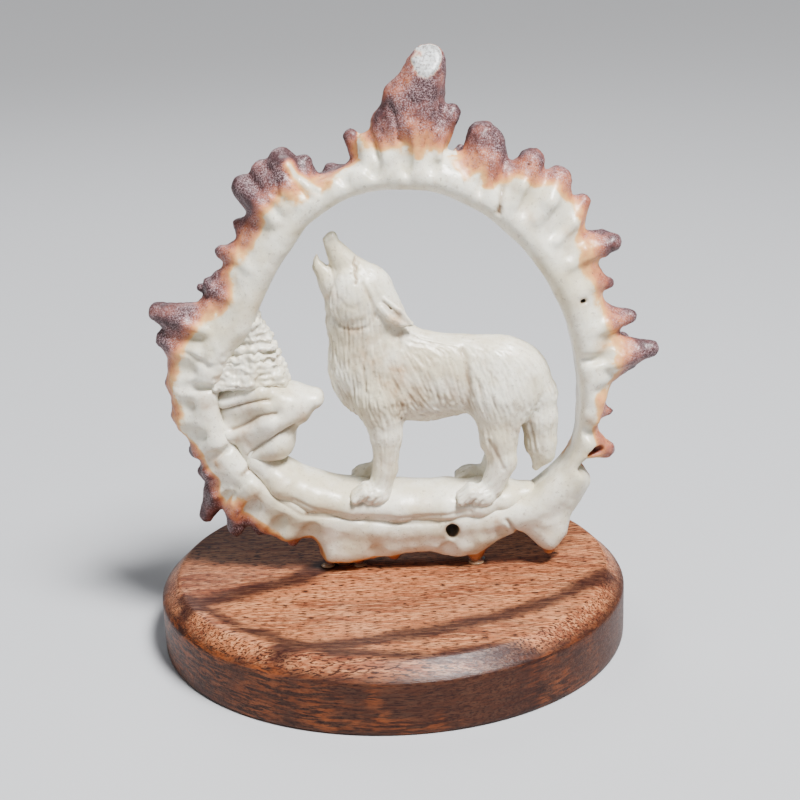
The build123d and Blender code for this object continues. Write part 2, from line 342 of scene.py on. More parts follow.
def antler_material(name, ivory=True):
    """Polished antler: ivory with stain and with painted shade in hollows, and unless it is all ivory, brown
    where the brown-skin value is high, which also paints shade into one pit.
    """
    n = Nodes(name)
    cloud = n.noise(90, 3, 0.55)
    fine = n.noise(520, 4, 0.62)
    specks = n.spread(n.noise(900, 2, 0.7), 0.61, 0.74)
    base = n.mix(n.spread(cloud, 0.38, 0.66), (0.77, 0.74, 0.64), (0.63, 0.57, 0.43))
    base = n.mix(n.spread(fine, 0.45, 0.75, 0, 0.30), base, (0.45, 0.36, 0.26))
    dots = n.spread(n.noise(2000, 2, 0.7), 0.60, 0.71)
    base = n.mix(n.math("MULTIPLY", dots, 0.40), base, (0.36, 0.28, 0.21))
    stain = n.value("stain")
    base = n.mix(n.math("MULTIPLY", stain, n.spread(fine, 0.25, 0.7, 0.45, 1.0)), base, (0.44, 0.255, 0.125))
    base = n.mix(n.math("MULTIPLY", specks, 0.42), base, (0.25, 0.19, 0.14))
    # painted shade: darkens the colour towards dark brown in holes, creases, grooves and hollows
    cavity = n.value("cavity")
    base = n.mix(cavity, base, (0.27, 0.18, 0.11))
    if not ivory:
        ripple = n.spread(n.noise(260, 4, 0.6), 0.3, 0.7, -0.15, 0.15)
        drift = n.math("ADD", ripple, n.spread(n.noise(110, 2, 0.5), 0.38, 0.62, -0.10, 0.14))
        # the brown-skin value is the burr's brown skin, and also painted shade in one pit on the ring
        burn = n.value("burn")
        edge = n.math("MULTIPLY_ADD", drift, n.spread(burn, 0.0, 0.3), burn, clamp=True)
        bark = n.ramp(edge, [
            (0.0, (0.70, 0.58, 0.38)), (0.18, (0.69, 0.42, 0.19)), (0.40, (0.57, 0.245, 0.11)),
            (0.62, (0.36, 0.125, 0.072)), (0.82, (0.16, 0.058, 0.050)), (1.0, (0.062, 0.026, 0.028)),
        ])
        base = n.mix(n.spread(edge, 0.03, 0.22), base, bark)
        patch = n.spread(n.noise(150, 3, 0.6), 0.36, 0.60, 0.25, 1.0)
        crust = n.math("MULTIPLY", n.spread(n.noise(3600, 2, 0.7), 0.44, 0.64, 0, 0.6), patch)
        base = n.mix(n.math("MULTIPLY", crust, n.spread(edge, 0.25, 0.65)), base, (0.53, 0.385, 0.395))
        pits = n.spread(n.noise(1300, 3, 0.7), 0.56, 0.70, 0, 0.75)
        base = n.mix(n.math("MULTIPLY", pits, n.spread(edge, 0.2, 0.6)), base, (0.045, 0.018, 0.018))
        sawn = n.ramp(n.noise(1500, 2, 0.8), [(0.35, (0.22, 0.2, 0.19)), (0.55, (0.50, 0.50, 0.49))])
        base = n.mix(n.value("sawn"), base, sawn)
        rough = n.spread(edge, 0.0, 0.6, 0.36, 0.52)
    else:
        rough = n.spread(fine, 0.3, 0.7, 0.34, 0.46)
    pores = n.add("ShaderNodeTexVoronoi", feature="F1")
    pores.inputs["Scale"].default_value = 850
    n.link(n.place(), pores.inputs["Vector"])
    normal = n.bump(fine, 0.34, 0.0003)
    normal = n.bump(n.spread(pores.outputs["Distance"], 0.05, 0.35), 0.10, 0.0002, normal)
    n.set(Base_Color=base, Roughness=rough, Normal=normal, Coat_Weight=0.12, Coat_Roughness=0.22)
    n.set(Subsurface_Weight=0.10, Subsurface_Scale=0.0006, Subsurface_Radius=(1.0, 0.7, 0.45))
    return n.material


def wood_material():
    """Reddish brown hardwood with fine dark pores along X and dark bands."""
    n = Nodes("hardwood")
    drift = n.noise(60, 4, 0.6)
    grain = n.noise(1.0, 4, 0.6, n.place((170, 1500, 1500)), 0.3)
    pores = n.noise(1.0, 2, 0.55, n.place((520, 3600, 3600)))
    broad = n.noise(1.0, 4, 0.6, n.place((34, 170, 170)), 0.8)
    band, side = n.value("band"), n.value("side")
    base = n.mix(n.spread(broad, 0.36, 0.64), (0.41, 0.166, 0.080), (0.21, 0.070, 0.036))
    base = n.mix(n.spread(grain, 0.42, 0.64, 0, 0.6), base, (0.58, 0.30, 0.165))
    base = n.mix(n.math("MULTIPLY", band, n.spread(grain, 0.2, 0.6, 1.0, 0.8)), base, (0.030, 0.011, 0.011))
    base = n.mix(n.spread(pores, 0.51, 0.59, 0, 0.92), base, (0.036, 0.012, 0.009))
    streak = n.noise(1.0, 4, 0.62, n.place((200, 330, 1700)), 0.5)
    # the side below the bevel: its own streaky grain, painted much darker than the top, which is painted
    # shade
    flank = n.mix(n.spread(streak, 0.42, 0.60), (0.018, 0.006, 0.005), (0.20, 0.058, 0.020))
    flank = n.mix(n.spread(drift, 0.38, 0.58, 0, 0.9), flank, (0.034, 0.013, 0.010))
    base = n.mix(n.math("MULTIPLY", side, 0.9), base, flank)
    rough = n.spread(grain, 0.3, 0.7, 0.47, 0.38)
    normal = n.bump(pores, 0.30, 0.00025)
    normal = n.bump(grain, 0.20, 0.0003, normal)
    n.set(Base_Color=base, Roughness=rough, Normal=normal)
    n.set(Specular_IOR_Level=0.28, Coat_Weight=0.10, Coat_Roughness=0.34)
    return n.material


def plain_material(name, colour, rough, metal=0.0):
    n = Nodes(name)
    n.set(Base_Color=(*colour, 1), Roughness=rough, Metallic=metal)
    return n.material


ANTLER = antler_material("antler", ivory=False)
CARVED = antler_material("antler_carved")
WOOD = wood_material()
STEEL = plain_material("screw_steel", (0.56, 0.56, 0.57), 0.32, 1.0)
EPOXY = plain_material("epoxy", (0.42, 0.29, 0.19), 0.12)

# ---- ring
WOOD_TOP = 15.0
CENTRE = np.array([6.3, 62])
# holes through the ring from front to back, x and z
LOW_HOLE = (13.0, 24.9)
SIDE_HOLE = (40.5, 74.1)
# the round edge of the opening, x and z
OPENING = [
    (4.3, 96.5), (10.3, 95.9), (16.3, 93.6), (22.3, 90.2), (28.3, 84.4), (33.4, 77.3), (36.4, 70.8),
    (38.5, 63.2), (39.6, 55.5), (39.6, 48.9), (39, 43.3), (36.4, 38.8), (32.2, 34.8), (27.9, 32), (21, 30.4),
    (14, 28.9), (6, 28), (-4, 28.4), (-12, 29.9), (-19, 32.2), (-25.4, 36.4), (-30.2, 41.4), (-32.9, 46.2),
    (-34.6, 51.4), (-34.6, 57.4), (-31.6, 64.4), (-27.1, 69.7), (-25.6, 73.9), (-22.8, 79.1), (-18.4, 85.3),
    (-14.1, 90.3), (-7.8, 94.2), (-1.7, 96.3),
]
# the outer edge of the ring without its points, x and z
VALLEYS = [
    (5, 105), (15, 104.4), (24.5, 102.3), (32.6, 99.2), (38.6, 94.3), (41.2, 87), (44.6, 79), (45, 74),
    (47.5, 68), (48.5, 60), (45.9, 53), (43.9, 46.5), (42.8, 41.6), (40.4, 38.9), (39.6, 37.3), (41.3, 35.4),
    (42.6, 33), (41, 30), (38.8, 26.8), (37.6, 22), (35.2, 18.6), (32.6, 18.5), (29.8, 20.9), (27.4, 22.6),
    (23.5, 21), (15, 17.2), (7.2, 18.6), (-2, 17.6), (-10, 16.4), (-14.5, 17.2), (-15.5, 20.6),
    (-17.3, 22.4), (-19.6, 22.4), (-22.6, 21.8), (-26, 23.6), (-34, 28.4), (-37.8, 33), (-38.2, 38),
    (-41, 43.6), (-43.6, 48), (-45, 54), (-45.1, 62), (-41.5, 71.5), (-37, 76), (-32.2, 82.5), (-28.6, 89),
    (-24.8, 94.6), (-20, 99), (-12, 100), (-4.6, 102.5),
]
# foot x, z, tip x, z, foot radius, tip radius, y of the foot, y of the tip
POINTS = [
    (7.5, 104, 10.5, 121.9, 7.2, 3.7, 0, -0.4), (4.6, 106, 5.2, 115.6, 5.6, 3.6, -0.2, -0.2),
    (6.2, 110, 8.6, 119, 5.6, 3.6, -0.2, -0.2), (2.2, 104, 1.6, 110.6, 4.6, 2.6, 0.4, 0.4),
    (-0.6, 102, -2, 106.4, 4, 2.2, 0.2, 0.4), (12.5, 108, 15.2, 112.2, 2.6, 1.6, 0, -0.5),
    (21, 100, 20.9, 107.3, 4.8, 3.1, -0.2, 0), (22.2, 101, 22.9, 105.6, 3.8, 2.6, 0.2, 0.4),
    (28.6, 97.4, 30.6, 101.9, 4.2, 2.7, -0.5, -0.4), (34, 94.2, 35.9, 97.8, 4.6, 3, 0, 0.2),
    (38.4, 89.6, 40.8, 93.2, 3.2, 1.7, 0.4, 0.5), (41, 83.6, 47, 84.8, 3.4, 1.9, -0.4, 0),
    (42, 84.8, 45.2, 85.9, 2, 1.3, 1.4, 1.4), (42.6, 77, 46, 76.4, 2.8, 1.2, 0, 0),
    (45.6, 68.3, 51, 69, 3.4, 1.4, 0.5, 0.5), (47, 61, 55.2, 62, 4.6, 1.7, -0.4, 0),
    (46, 57.4, 51.6, 58.6, 2.6, 1.2, 0.8, 1.6), (43, 49.2, 46.6, 48.5, 2.6, 0.9, 0, 0),
    (42.9, 41.8, 45.9, 40.1, 3.3, 2, -1.4, -0.6), (37.4, 30, 41.5, 32.9, 3.6, 1, 0, 0),
    (32.6, 25.5, 34, 17.4, 5, 1.3, 0, 0), (34.4, 26.6, 36.3, 21.4, 3.6, 1.6, 0.2, 0.2),
    (27.6, 27, 28.2, 24, 3.4, 1.4, -0.3, -0.3), (18.6, 22.6, 18.1, 16.3, 4.6, 1.5, -0.4, -0.2),
    (7.6, 21.6, 6.8, 19.4, 2.4, 1.2, -1.6, -1.2), (0, 20.4, 0.4, 17.6, 3.2, 1.4, -1, -0.6),
    (-7, 21, -7.2, 16.3, 3.6, 1.3, -0.4, 0), (-13.2, 21, -13.5, 16.2, 2.8, 1.2, 0, 0),
    (-20.6, 25, -21.2, 21, 3.2, 1.2, 0, -0.2), (-26.5, 26.2, -28.2, 24.4, 3.4, 1.7, 0, 0),
    (-31.6, 29.4, -33.3, 24, 3.2, 1.35, -0.6, -0.5), (-36.8, 33, -39.4, 27.6, 3.2, 1.5, 0, 0),
    (-38, 38.2, -39.4, 37.4, 3, 1.5, 0.4, 0.6), (-39.6, 43.2, -40.9, 42.4, 3, 1.4, 0, 0.3),
    (-42.4, 50, -43.9, 50.4, 3, 1.6, 0, 0.4), (-42.6, 57, -44.4, 57.6, 3.2, 1.5, 0.6, 0.6),
    (-42, 65.6, -45.4, 67.4, 3.6, 2, 0, 0.2), (-40.6, 71, -46.2, 73.3, 4, 2.1, -0.8, 0),
    (-34.5, 78.4, -35.4, 78.6, 2.6, 1.4, 0.5, 0.5), (-29, 84.8, -32.2, 85.3, 2.6, 1.4, 0, 0.2),
    (-27, 90, -28.6, 90.8, 2.4, 1.2, 0.8, 1), (-23.4, 95.6, -26.9, 98.4, 4.2, 2.6, 0, 0.2),
    (-20.6, 98, -23, 101.4, 4, 2.4, 0.4, 0.6), (-17.6, 98.4, -19, 103.6, 4.4, 2.7, -0.4, -0.2),
    (-14.6, 98.6, -14.7, 103, 2.8, 1.5, 1, 1.2), (-9.2, 98.6, -9.4, 101.2, 2, 1, 3, 3),
    (-2.6, 103, -5.2, 107.6, 2.8, 1.5, 2.2, 2.4),
]
# second row of points, at the back: direction from the centre in degrees, reach
BACK_POINTS = [
    (100, 2), (112, 1), (121, 2.8), (133, 1.6), (142, 1.2), (151, 2), (161, 3), (170, 1.4), (178, 1.9),
    (187, 1.4), (196, 1.7), (205, 1.2), (214, 2.2), (222, 1.4), (232, 2), (243, 1.6), (256, 1.2), (268, 0.8),
    (281, 0.6), (296, 0.2), (309, 0.2), (345, -0.6), (352, 0.8), (1, 3.2), (9, 2), (18, 1.7), (28, 2.6),
    (38, 1.6), (47, 1.8), (57, 2.2), (67, 2.6), (76, 1.6), (85, 2),
]
# scoops in the front face: x, z, half width, half length, direction in degrees
SCOOPS = [
    (16.4, 106.5, 1.5, 4, 84), (25.4, 102.2, 1.5, 4.2, 66), (32.4, 98.8, 1.3, 3.8, 54),
    (37.6, 94, 1.3, 3.6, 44), (41, 88.4, 1.2, 3.6, 30), (44, 80.6, 1.4, 4.2, 16), (45.6, 73.2, 1.3, 3.6, 8),
    (48, 65.6, 1.2, 3.6, 4), (47.2, 54.2, 1.5, 4, -10), (44.4, 45.2, 1.5, 4, -16), (25, 20.6, 1.5, 4.4, -66),
    (12.2, 18.2, 1.6, 3.2, -88), (-3.6, 17.8, 1.6, 3.4, -98), (-17.6, 23.4, 1.8, 4.2, -112),
    (-24.4, 26, 1.4, 4.2, -122), (-30.2, 29.4, 1.6, 5, -125), (-36, 30.8, 1.4, 5.2, -125),
    (-40.2, 47.4, 1.4, 4, 194), (-42.6, 54, 1.2, 3.4, 186), (-42.8, 61.6, 1.4, 4, 180),
    (-42.2, 69.6, 1.3, 4.6, 166), (-38.6, 76.4, 1.5, 4, 152), (-33.2, 81.6, 1.4, 3.6, 146),
    (-29, 88, 1.3, 3.4, 142), (-26, 93.8, 1.3, 3.4, 136), (-21.8, 100.4, 1.2, 3.6, 122),
    (-12.4, 101.2, 1.5, 3.8, 108), (-7, 102.6, 1.2, 3.2, 104), (-1, 104.2, 1.4, 3.6, 98),
    (11, 105.4, 1.3, 4.2, 86), (5.6, 105, 1.2, 4, 92), (36.8, 90.2, 1, 3.6, 44), (30, 95.4, 0.9, 3.6, 58),
    (21, 100, 0.9, 3.4, 72), (43.6, 61.8, 1, 4.2, 6), (-36.8, 43, 1, 4, 206), (-39, 58.2, 0.9, 3.8, 182),
]
# direction from the centre in degrees, how far inside the outer line the brown begins
BURN = [
    (-180, 3.2), (-170, 3.2), (-158, 3), (-145, 3.2), (-132, 2.6), (-120, 1.5), (-105, 1.2), (-90, 1),
    (-75, 0.9), (-62, 0.6), (-52, -0.5), (-42, -2.2), (-33, -1.2), (-22, 2.6), (-8, 2.8), (5, 3.4),
    (18, 3.4), (30, 3.8), (42, 2.2), (50, 1.6), (58, 3.4), (66, 4.8), (74, 4.4), (79, 2), (86, -1.2),
    (95, -0.5), (104, 1), (112, 3), (124, 5.2), (136, 4.2), (148, 4.2), (160, 5.2), (170, 3.8), (180, 3.2),
]
# the seam under the ledge, x and z
LEDGE_SEAM = [
    (-29.1, 40.6), (-26.2, 36.6), (-22.8, 32.5), (-18.7, 29.5), (-10.8, 28.5), (-0.3, 26.8), (10.3, 26.7),
]
# line, width, depth, and painted shade (darkness) of the creases on the front face
CREASES = [
    ([(25.2, 102.5), (24.7, 98), (24.1, 94.7), (23.7, 92.9)], 0.45, 0.55, 0.7),
    ([(23.9, 93.9), (23.6, 93)], 0.6, 0.4, 0.5),
    ([(-30.6, 39), (-28.9, 40.1)], 0.45, 0.3, 0.8),
    ([(-17.5, 29.8), (-16.8, 31)], 0.45, 0.2, 0.6),
    ([(-40.7, 65.7), (-39, 64.9), (-37.2, 63.7), (-36.2, 62.9)], 0.7, 0.55, 0.12),
    (LEDGE_SEAM, 0.4, 0.3, 0.35),
    ([(-41.6, 68.8), (-39.4, 69.1), (-37.2, 68.7)], 0.9, 0.55, 0.08),
    ([(3, 114), (4, 110.2), (4.7, 108)], 0.7, 0.6, 0.1),
    ([(-0.5, 107.1), (0.2, 104.3)], 0.55, 0.45, 0.1),
    ([(-17.9, 101.9), (-16, 99.3), (-13.6, 97.2)], 0.6, 0.5, 0.15),
]
# x, z, size, amount
RING_STAINS = [
    (-36.5, 41.5, 2.2, 0.8), (-29, 33, 2.6, 0.4), (45, 64.5, 1.8, 0.9), (33, 24.5, 2.6, 0.3),
    (4, 21.5, 2.2, 0.3), (-4, 22.5, 2, 0.25), (10, 21, 1.6, 0.35), (38, 88, 2, 0.4), (-33.5, 60, 2.4, 0.35),
    (-24, 75, 2.6, 0.25), (-38, 55, 2.4, 0.35), (43, 48, 2, 0.5), (30, 92, 1.8, 0.35), (-14, 24, 2, 0.35),
    (22, 26, 1.6, 0.5),
]
# a brown point that runs up the face, an ivory ridge in the brown, and a fold above the foot, x and z
BROWN_LEAF = [(-33.4, 25.5), (-33.9, 29.8), (-31.6, 33.2), (-28.7, 35.9)]
IVORY_RIDGE = [(-17.6, 103.2), (-16.4, 101), (-14.2, 99.2), (-11.7, 98.2)]
FOLD = [(24.6, 27), (25.8, 24.8), (27.2, 22.6)]


def opened(x, z):
    """The opening's edge, let out at the right, the top and the lower right."""
    return x + 0.9 * step(20, 40, x), z + 1.6 * step(72, 96, z) - 1.7 * step(52, 34, z) * step(8, 26, x)


def past_saw(y, z):
    """Distance beyond the saw cut across the top point, which faces forward and up."""
    return -(y + 2.4) * 0.76 + (z - 123.4) * 0.65


def ring_band(opening, outer):
    """The ring without its points: a band that thins outwards, with a round rim at the opening."""
    field = Field((-51, -8.6, 13.6), (59.2, 8.6, 127.6), 0.44)
    x, z = np.meshgrid(field.axes[0], field.axes[2], indexing="ij")
    d_in = -depth_inside(x, z, opening)[:, None, :]
    d_out = depth_inside(x, z, outer)[:, None, :]
    y = field.axes[1][None, :, None]
    across = np.clip(d_in / np.maximum(d_in + d_out, 0.5), 0, 1)
    low_part = step(36, 24, field.axes[2])[None, None, :]
    half = 6.1 - (2.6 - 1.7 * low_part) * across**1.5
    band = smooth_max((np.abs(y) - half) * 0.92, -d_in, 4.2)
    band = smooth_max(band, -d_out, 3.4)
    rim = np.sqrt((d_in - 2.7) ** 2 + np.maximum(np.abs(y) - 3.5, 0) ** 2) - 2.8
    rim = smooth_max(rim, -d_out, 1.2)
    field.f = smooth_min(band, rim, 1.6).astype(np.float32)
    return field


def add_points(field, opening):
    """The points round the edge, the larger ones with a ridge that runs down the front face."""
    for fx, fz, tx, tz, fr, tr, fy, ty in POINTS:
        foot, tip = np.array([fx, fz]), np.array([tx, tz])
        inward = (CENTRE - foot) / np.linalg.norm(CENTRE - foot)
        room = float(line_distance(foot[0:1], foot[1:2], opening, True)[0])
        flat = 0.9 if fr > 5.5 else 1.0
        field.cone((fx, fy, fz), (tx, ty, tz), min(fr, 0.85 * room + 0.5), tr, 1.7, flat)
        start = foot + inward * min(4.5, fr + 1.5, 0.42 * room)
        if fr > 2.4 and abs(fy) < 1.3:
            r = min(1.75, 0.46 * fr) * (0.7 if fx < -30 or fz < 34 else 1)
            front = -min(fr, 4.3)
            field.cone((start[0], -4.9, start[1]), (foot[0], front, foot[1]), r * 0.8, r, 1.2)
            field.cone((foot[0], front, foot[1]), (tip[0], ty - tr * 0.5, tip[1]), r, tr * 0.7, 1)


def add_back_points(field, outer):
    """The second row of points, left out where it would reach the wood."""
    edges = outer - CENTRE
    for angle, reach in BACK_POINTS:
        a = math.radians(angle)
        ray = np.array([math.cos(a), math.sin(a)])
        size = np.linalg.norm(edges[np.argmax(edges @ ray / np.linalg.norm(edges, axis=1))])
        foot, tip = CENTRE + ray * (size - 2.5), CENTRE + ray * (size + reach - 1.7)
        if tip[1] < WOOD_TOP + 3.5:
            continue
        wide = 1.5 + 0.35 * math.sin(angle * 1.7)
        tip_y = 4.2 + 0.7 * math.sin(angle)
        field.cone((foot[0], 3, foot[1]), (tip[0], tip_y, tip[1]), wide + 0.6, wide * 0.75, 1.3)


def carve_ring(field):
    """The scoops, arch, holes, pit and saw cut, and the flat where the ring meets the wood."""
    for sx, sz, wide, long, angle in SCOOPS:
        gap = math.hypot(sx - CENTRE[0], sz - CENTRE[1])
        face = -float(np.interp(gap, [36, 52], [6.4, 4.6]))
        deep = 0.75 if sz > 100 or sx < -30 or sz < 34 else 1.1 if sz > 92 else 1.4
        field.ball((sx, face, sz), (long, deep, wide), angle, 1.5, True)
    field.ball((-18.2, -4.6, 20.4), (3.2, 2.6, 2.4), -10, 0.8, True)
    low_slot = (LOW_HOLE[0], 23.6)
    for (x, z), radius, k in ((LOW_HOLE, 1.45, 0.3), (low_slot, 0.85, 0.8), (SIDE_HOLE, 0.62, 0.25)):
        field.cone((x, -9, z), (x, 9, z), radius, radius, k, 1, True)
    field.ball((43.2, -3.9, 41), (2.5, 2.2, 1.1), 4, 0.5, True)
    cut, x, y, z = field.window((0, -9, 114), (20, 9, 128))
    field.put(-past_saw(y, z), cut, 0.4, True)
    field.rest_on(WOOD_TOP + 0.02)


def brown_skin(v, outer):
    """How brown each vertex is, from its distance to the outer line and its side."""
    px, pz = v[:, 0], v[:, 2]
    dist = depth_inside(px, pz, outer)
    angle = np.degrees(np.arctan2(pz - CENTRE[1], px - CENTRE[0]))
    start = np.interp(angle, *zip(*BURN))
    wobble = noise(v, 3.2, 1) * 1.1 + noise(v, 7.5, 2) * 1.3 + noise(v, 1.4, 3) * 0.4
    back = step(-1.5, 3.5, v[:, 1]) * step(4.5, -1.5, dist) * 0.75
    spread = np.interp(angle, [-180, -172, -140, -52, -30], [7.4, 4.6, 3.2, 2.8, 7.4])
    least = np.where((angle > -100) & (angle < -40), -0.6, -9)
    burn = (start + wobble * (spread / 7.4) ** 0.5 - np.maximum(dist, least)) / spread
    burn = np.clip(burn, 0, 1) + back
    on_top_point = (pz > 104) & (np.abs(px - 6) < 9.8)
    return np.where(on_top_point, np.clip((pz - 104.0 + wobble) / 10.5, 0, 0.82), burn)


def soft_values(v, stains, grain=1.6):
    """Stain per vertex from blots given as x, z, size and amount, their edges broken by noise."""
    stain = np.zeros(len(v))
    for sx, sz, size, amount in stains:
        gap = (v[:, 0] - sx) ** 2 + (v[:, 2] - sz) ** 2
        stain += amount * np.exp(-gap / size**2 + 0.8 * noise(v, grain, 9))
    return np.clip(stain, 0, 1)


def ring():
    """The antler burr with its points, flutes, scoops, notch and holes."""
    opening = curve([opened(x, z) for x, z in OPENING], 260)
    outer = curve(VALLEYS, 300)
    field = ring_band(opening, outer)
    add_points(field, opening)
    add_back_points(field, outer)
    carve_ring(field)
    v, quads = field.mesh()
    v = settle(v, quads, 1)
    n = normals(v, quads)
    px, pz = v[:, 0], v[:, 2]
    burn = brown_skin(v, outer)
    ridge = bell(line_distance(px, pz, IVORY_RIDGE), 1.15) * (v[:, 1] < -1.0)
    v = push(v, n, 0.7 * ridge)
    burn = burn * (1 - 0.95 * ridge)
    leaf = line_distance(px, pz, BROWN_LEAF) + 0.35 * noise(v, 1.3, 34)
    leaf = step(2.3, 0.9, leaf) * (n[:, 1] < -0.1)
    v = push(v, n, 0.6 * leaf)
    burn = np.maximum(burn, 0.66 * leaf * step(36.0, 29.0, pz + 0.5 * noise(v, 2.0, 35)))
    off_plane = np.abs(past_saw(v[:, 1], pz)) + 0.4 * noise(v, 1.1, 31)
    saw_at = step(0.4, 0.2, off_plane) * (pz > 117)
    bark = np.clip(burn * 1.6, 0, 1) * (1 - saw_at)
    pebble = noise(v, 1.15, 4) * 0.5 + noise(v, 0.7, 5) * 0.35 + noise(v, 2.4, 6) * 0.5
    polish = noise(v, 1.6, 7) * 0.07 + noise(v, 4.5, 8) * 0.16
    v = push(v, n, pebble * 0.30 * bark + polish * (1 - bark))
    rough_patch = np.exp(-((((px + 34.2) / 3.4) ** 2 + ((pz - 61.5) / 6.5) ** 2) ** 2)) * (v[:, 1] < -2)
    v = push(v, n, rough_patch * (0.26 * noise(v, 1.0, 32) + 0.10 * noise(v, 0.6, 33)))
    v[:, 2] = np.maximum(v[:, 2], WOOD_TOP + 0.02)
    stain = soft_values(v, RING_STAINS, 1.5)
    # painted shade: the pit under the spike by the right notch is painted almost black brown through the
    # brown-skin value
    pit = np.exp(-((px - 43.0) ** 2 + ((pz - 40.8) * 1.7) ** 2 + (v[:, 1] + 3.2) ** 2) / 5.0)
    burn = np.clip(np.maximum(burn, 0.975 * pit), 0, 1) * (1 - saw_at)
    # painted shade in the two holes, the fold above the foot and the creases
    cavity = 0.8 * np.exp(-(((px - LOW_HOLE[0]) / 1.9) ** 2 + ((pz - 24.6) / 2.3) ** 2) ** 2)
    cavity += 0.7 * np.exp(-(((px - SIDE_HOLE[0]) ** 2 + (pz - SIDE_HOLE[1]) ** 2) / 0.9))
    fold = bell(line_distance(px, pz, FOLD), 0.42) * (v[:, 1] < 0)
    v = push(v, n, -0.55 * fold)
    cavity += 0.5 * fold
    for line, wide, depth, dark in CREASES:
        crease = bell(line_distance(px, pz, line), wide) * (n[:, 1] < -0.2)
        v = push(v, n, -depth * crease)
        cavity += dark * crease
    cavity = np.clip(cavity, 0, 1)
    make("ring", v, quads.tolist(), ANTLER, "antler_ring", "antler",
         burn=burn, stain=stain, cavity=cavity, sawn=saw_at)


# ---- ledge, rocks, fir
def ledge():
    """The smooth ledge the wolf stands on."""
    field = Field((-35, -9, 23), (31, 9, 50), 0.3)
    path = [
        (-31.2, 47, 2), (-27.4, 40.8, 3.3), (-22.6, 35.4, 4), (-16, 32.2, 4.1), (-8, 30.3, 4.2),
        (2, 29.5, 4.3), (12, 29.4, 4.2), (19, 29.6, 4), (24.5, 30, 3.2), (29.4, 31, 2),
    ]
    for (ax, az, ar), (bx, bz, br) in zip(path, path[1:]):
        field.cone((ax, 0, az), (bx, 0, bz), ar, br, 1.2, 1.62)
    x, z = LOW_HOLE
    field.cone((x, -9, z), (x, 9, z), 2, 2, 0.3, 1, True)
    v, quads = field.mesh()
    v = settle(v, quads, 2)
    n = normals(v, quads)
    v = push(v, n, noise(v, 3.6, 11) * 0.16 + noise(v, 1.3, 12) * 0.05)
    groove = curve([(-20, 33), (-12, 29.6), (0, 28.4), (10, 28.6), (17, 29.3)], 30, False)
    crease = line_distance(v[:, 0], v[:, 2], groove)
    v = push(v, n, -0.25 * bell(crease, 0.5) * (v[:, 1] < -3))
    stain = soft_values(v, [(5, 27.5, 4, 0.35), (-14, 29, 3, 0.3), (-24, 36, 3, 0.2)])
    # painted shade, darker towards the bottom of the ledge's front
    cavity = 0.3 * step(28.2, 26.4, v[:, 2]) * (v[:, 1] < 0)
    make("ledge", v, quads.tolist(), CARVED, "ground_ledge", "antler_carved", stain=stain, cavity=cavity)


def rocks():
    """Boulders piled at the left, the top one reaching out to the right."""
    field = Field((-38, -9, 36), (-10.5, 9, 61), 0.27)
    slabs = [
        [(-33.4, 53.6, 3.3), (-26, 54.8, 3.8), (-20.8, 53.3, 3.4), (-15, 53.6, 2.1)],
        [(-32.8, 47.4, 3.3), (-23.6, 50, 4.2), (-18.6, 51, 2.8)],
        [(-28.4, 43, 3.6), (-23.8, 44.8, 4.5)],
    ]
    for slab in slabs:
        for (ax, az, ar), (bx, bz, br) in zip(slab, slab[1:]):
            field.cone((ax, -0.4, az), (bx, -0.4, bz), ar, br, 2.4, 1.0 + 5.0 / (ar + br + 2))
    v, quads = field.mesh()
    v = settle(v, quads, 2)
    n = normals(v, quads)
    v = push(v, n, noise(v, 2.8, 13) * 0.10 + noise(v, 0.9, 14) * 0.03)
    grooves = [
        [(-34.8, 52.6), (-33.4, 52.6), (-31, 53.5), (-28.6, 54.7), (-26.2, 55.4), (-23.8, 55.6)],
        [(-32.4, 48.9), (-29.6, 50), (-26.6, 51.9), (-24.2, 52.6), (-22.6, 52.7)],
        [(-29.4, 42.6), (-28.2, 44), (-26.2, 45.6), (-23.8, 46.9), (-21.2, 47.9), (-18.8, 48.4)],
    ]
    # painted shade in the grooves between the boulders, on their flanks
    cavity = np.zeros(len(v))
    sunk = np.zeros(len(v))
    flank = step(0.1, 0.4, np.abs(n[:, 1]))
    for groove in grooves:
        d = line_distance(v[:, 0], v[:, 2], curve(groove, 24, False))
        sunk += (0.5 * bell(d, 0.32) + 0.75 * bell(d, 1.25)) * flank
        cavity += (0.65 * bell(d, 0.28) + 0.14 * bell(d, 1.2)) * flank
    v = push(v, n, -sunk)
    blots = [(-28, 52.4, 2.6, 0.5), (-29.5, 46.5, 2.6, 0.45), (-25, 41.4, 2.4, 0.35), (-17, 51, 2.4, 0.3)]
    stain, cavity = soft_values(v, blots), np.clip(cavity, 0, 1)
    make("rocks", v, quads.tolist(), CARVED, "rock_outcrop", "antler_carved", stain=stain, cavity=cavity)


def fir():
    """The small fir, a rough relief of wavy branches."""
    field = Field((-38, -7.4, 55), (-18.5, 7.4, 73), 0.26)
    tips = [(-20, 58.2), (-20.4, 60.2), (-21.2, 63), (-22.4, 67), (-23.9, 70), (-25.2, 71.2)]
    right = curve(tips, 12, False)
    for number, (rx, rz) in enumerate(right):
        share = number / (len(right) - 1)
        lx = -35.4 + 7.4 * share**1.2
        sag = 0.9 - 0.4 * share
        middle = (lx + rx) / 2
        deep = 4.5 - 1.6 * share
        field.cone((lx, 0, rz - sag * 0.6), (middle, 0, rz + 0.1), 1.3, 1.4, 0.6, deep)
        field.cone((middle, 0, rz + 0.1), (rx - 1, 0, rz - sag), 1.4, 0.85, 0.5, deep * 0.94)
    v, quads = field.mesh()
    n = normals(v, quads)
    rough = noise(v, 1.9, 15) * 0.8 + noise(v, 0.5, 17) * 0.3
    rough += noise(v * np.array([1, 1, 1.5]), 0.95, 16) * 0.75
    v = push(v, n, rough * 0.48)
    # painted shade where the rough relief sinks in
    stain, cavity = soft_values(v, [(-31, 60, 3, 0.15)]), np.clip(-rough * 0.28, 0, 0.4)
    make("fir", v, quads.tolist(), CARVED, "fir_tree", "antler_carved", stain=stain, cavity=cavity)


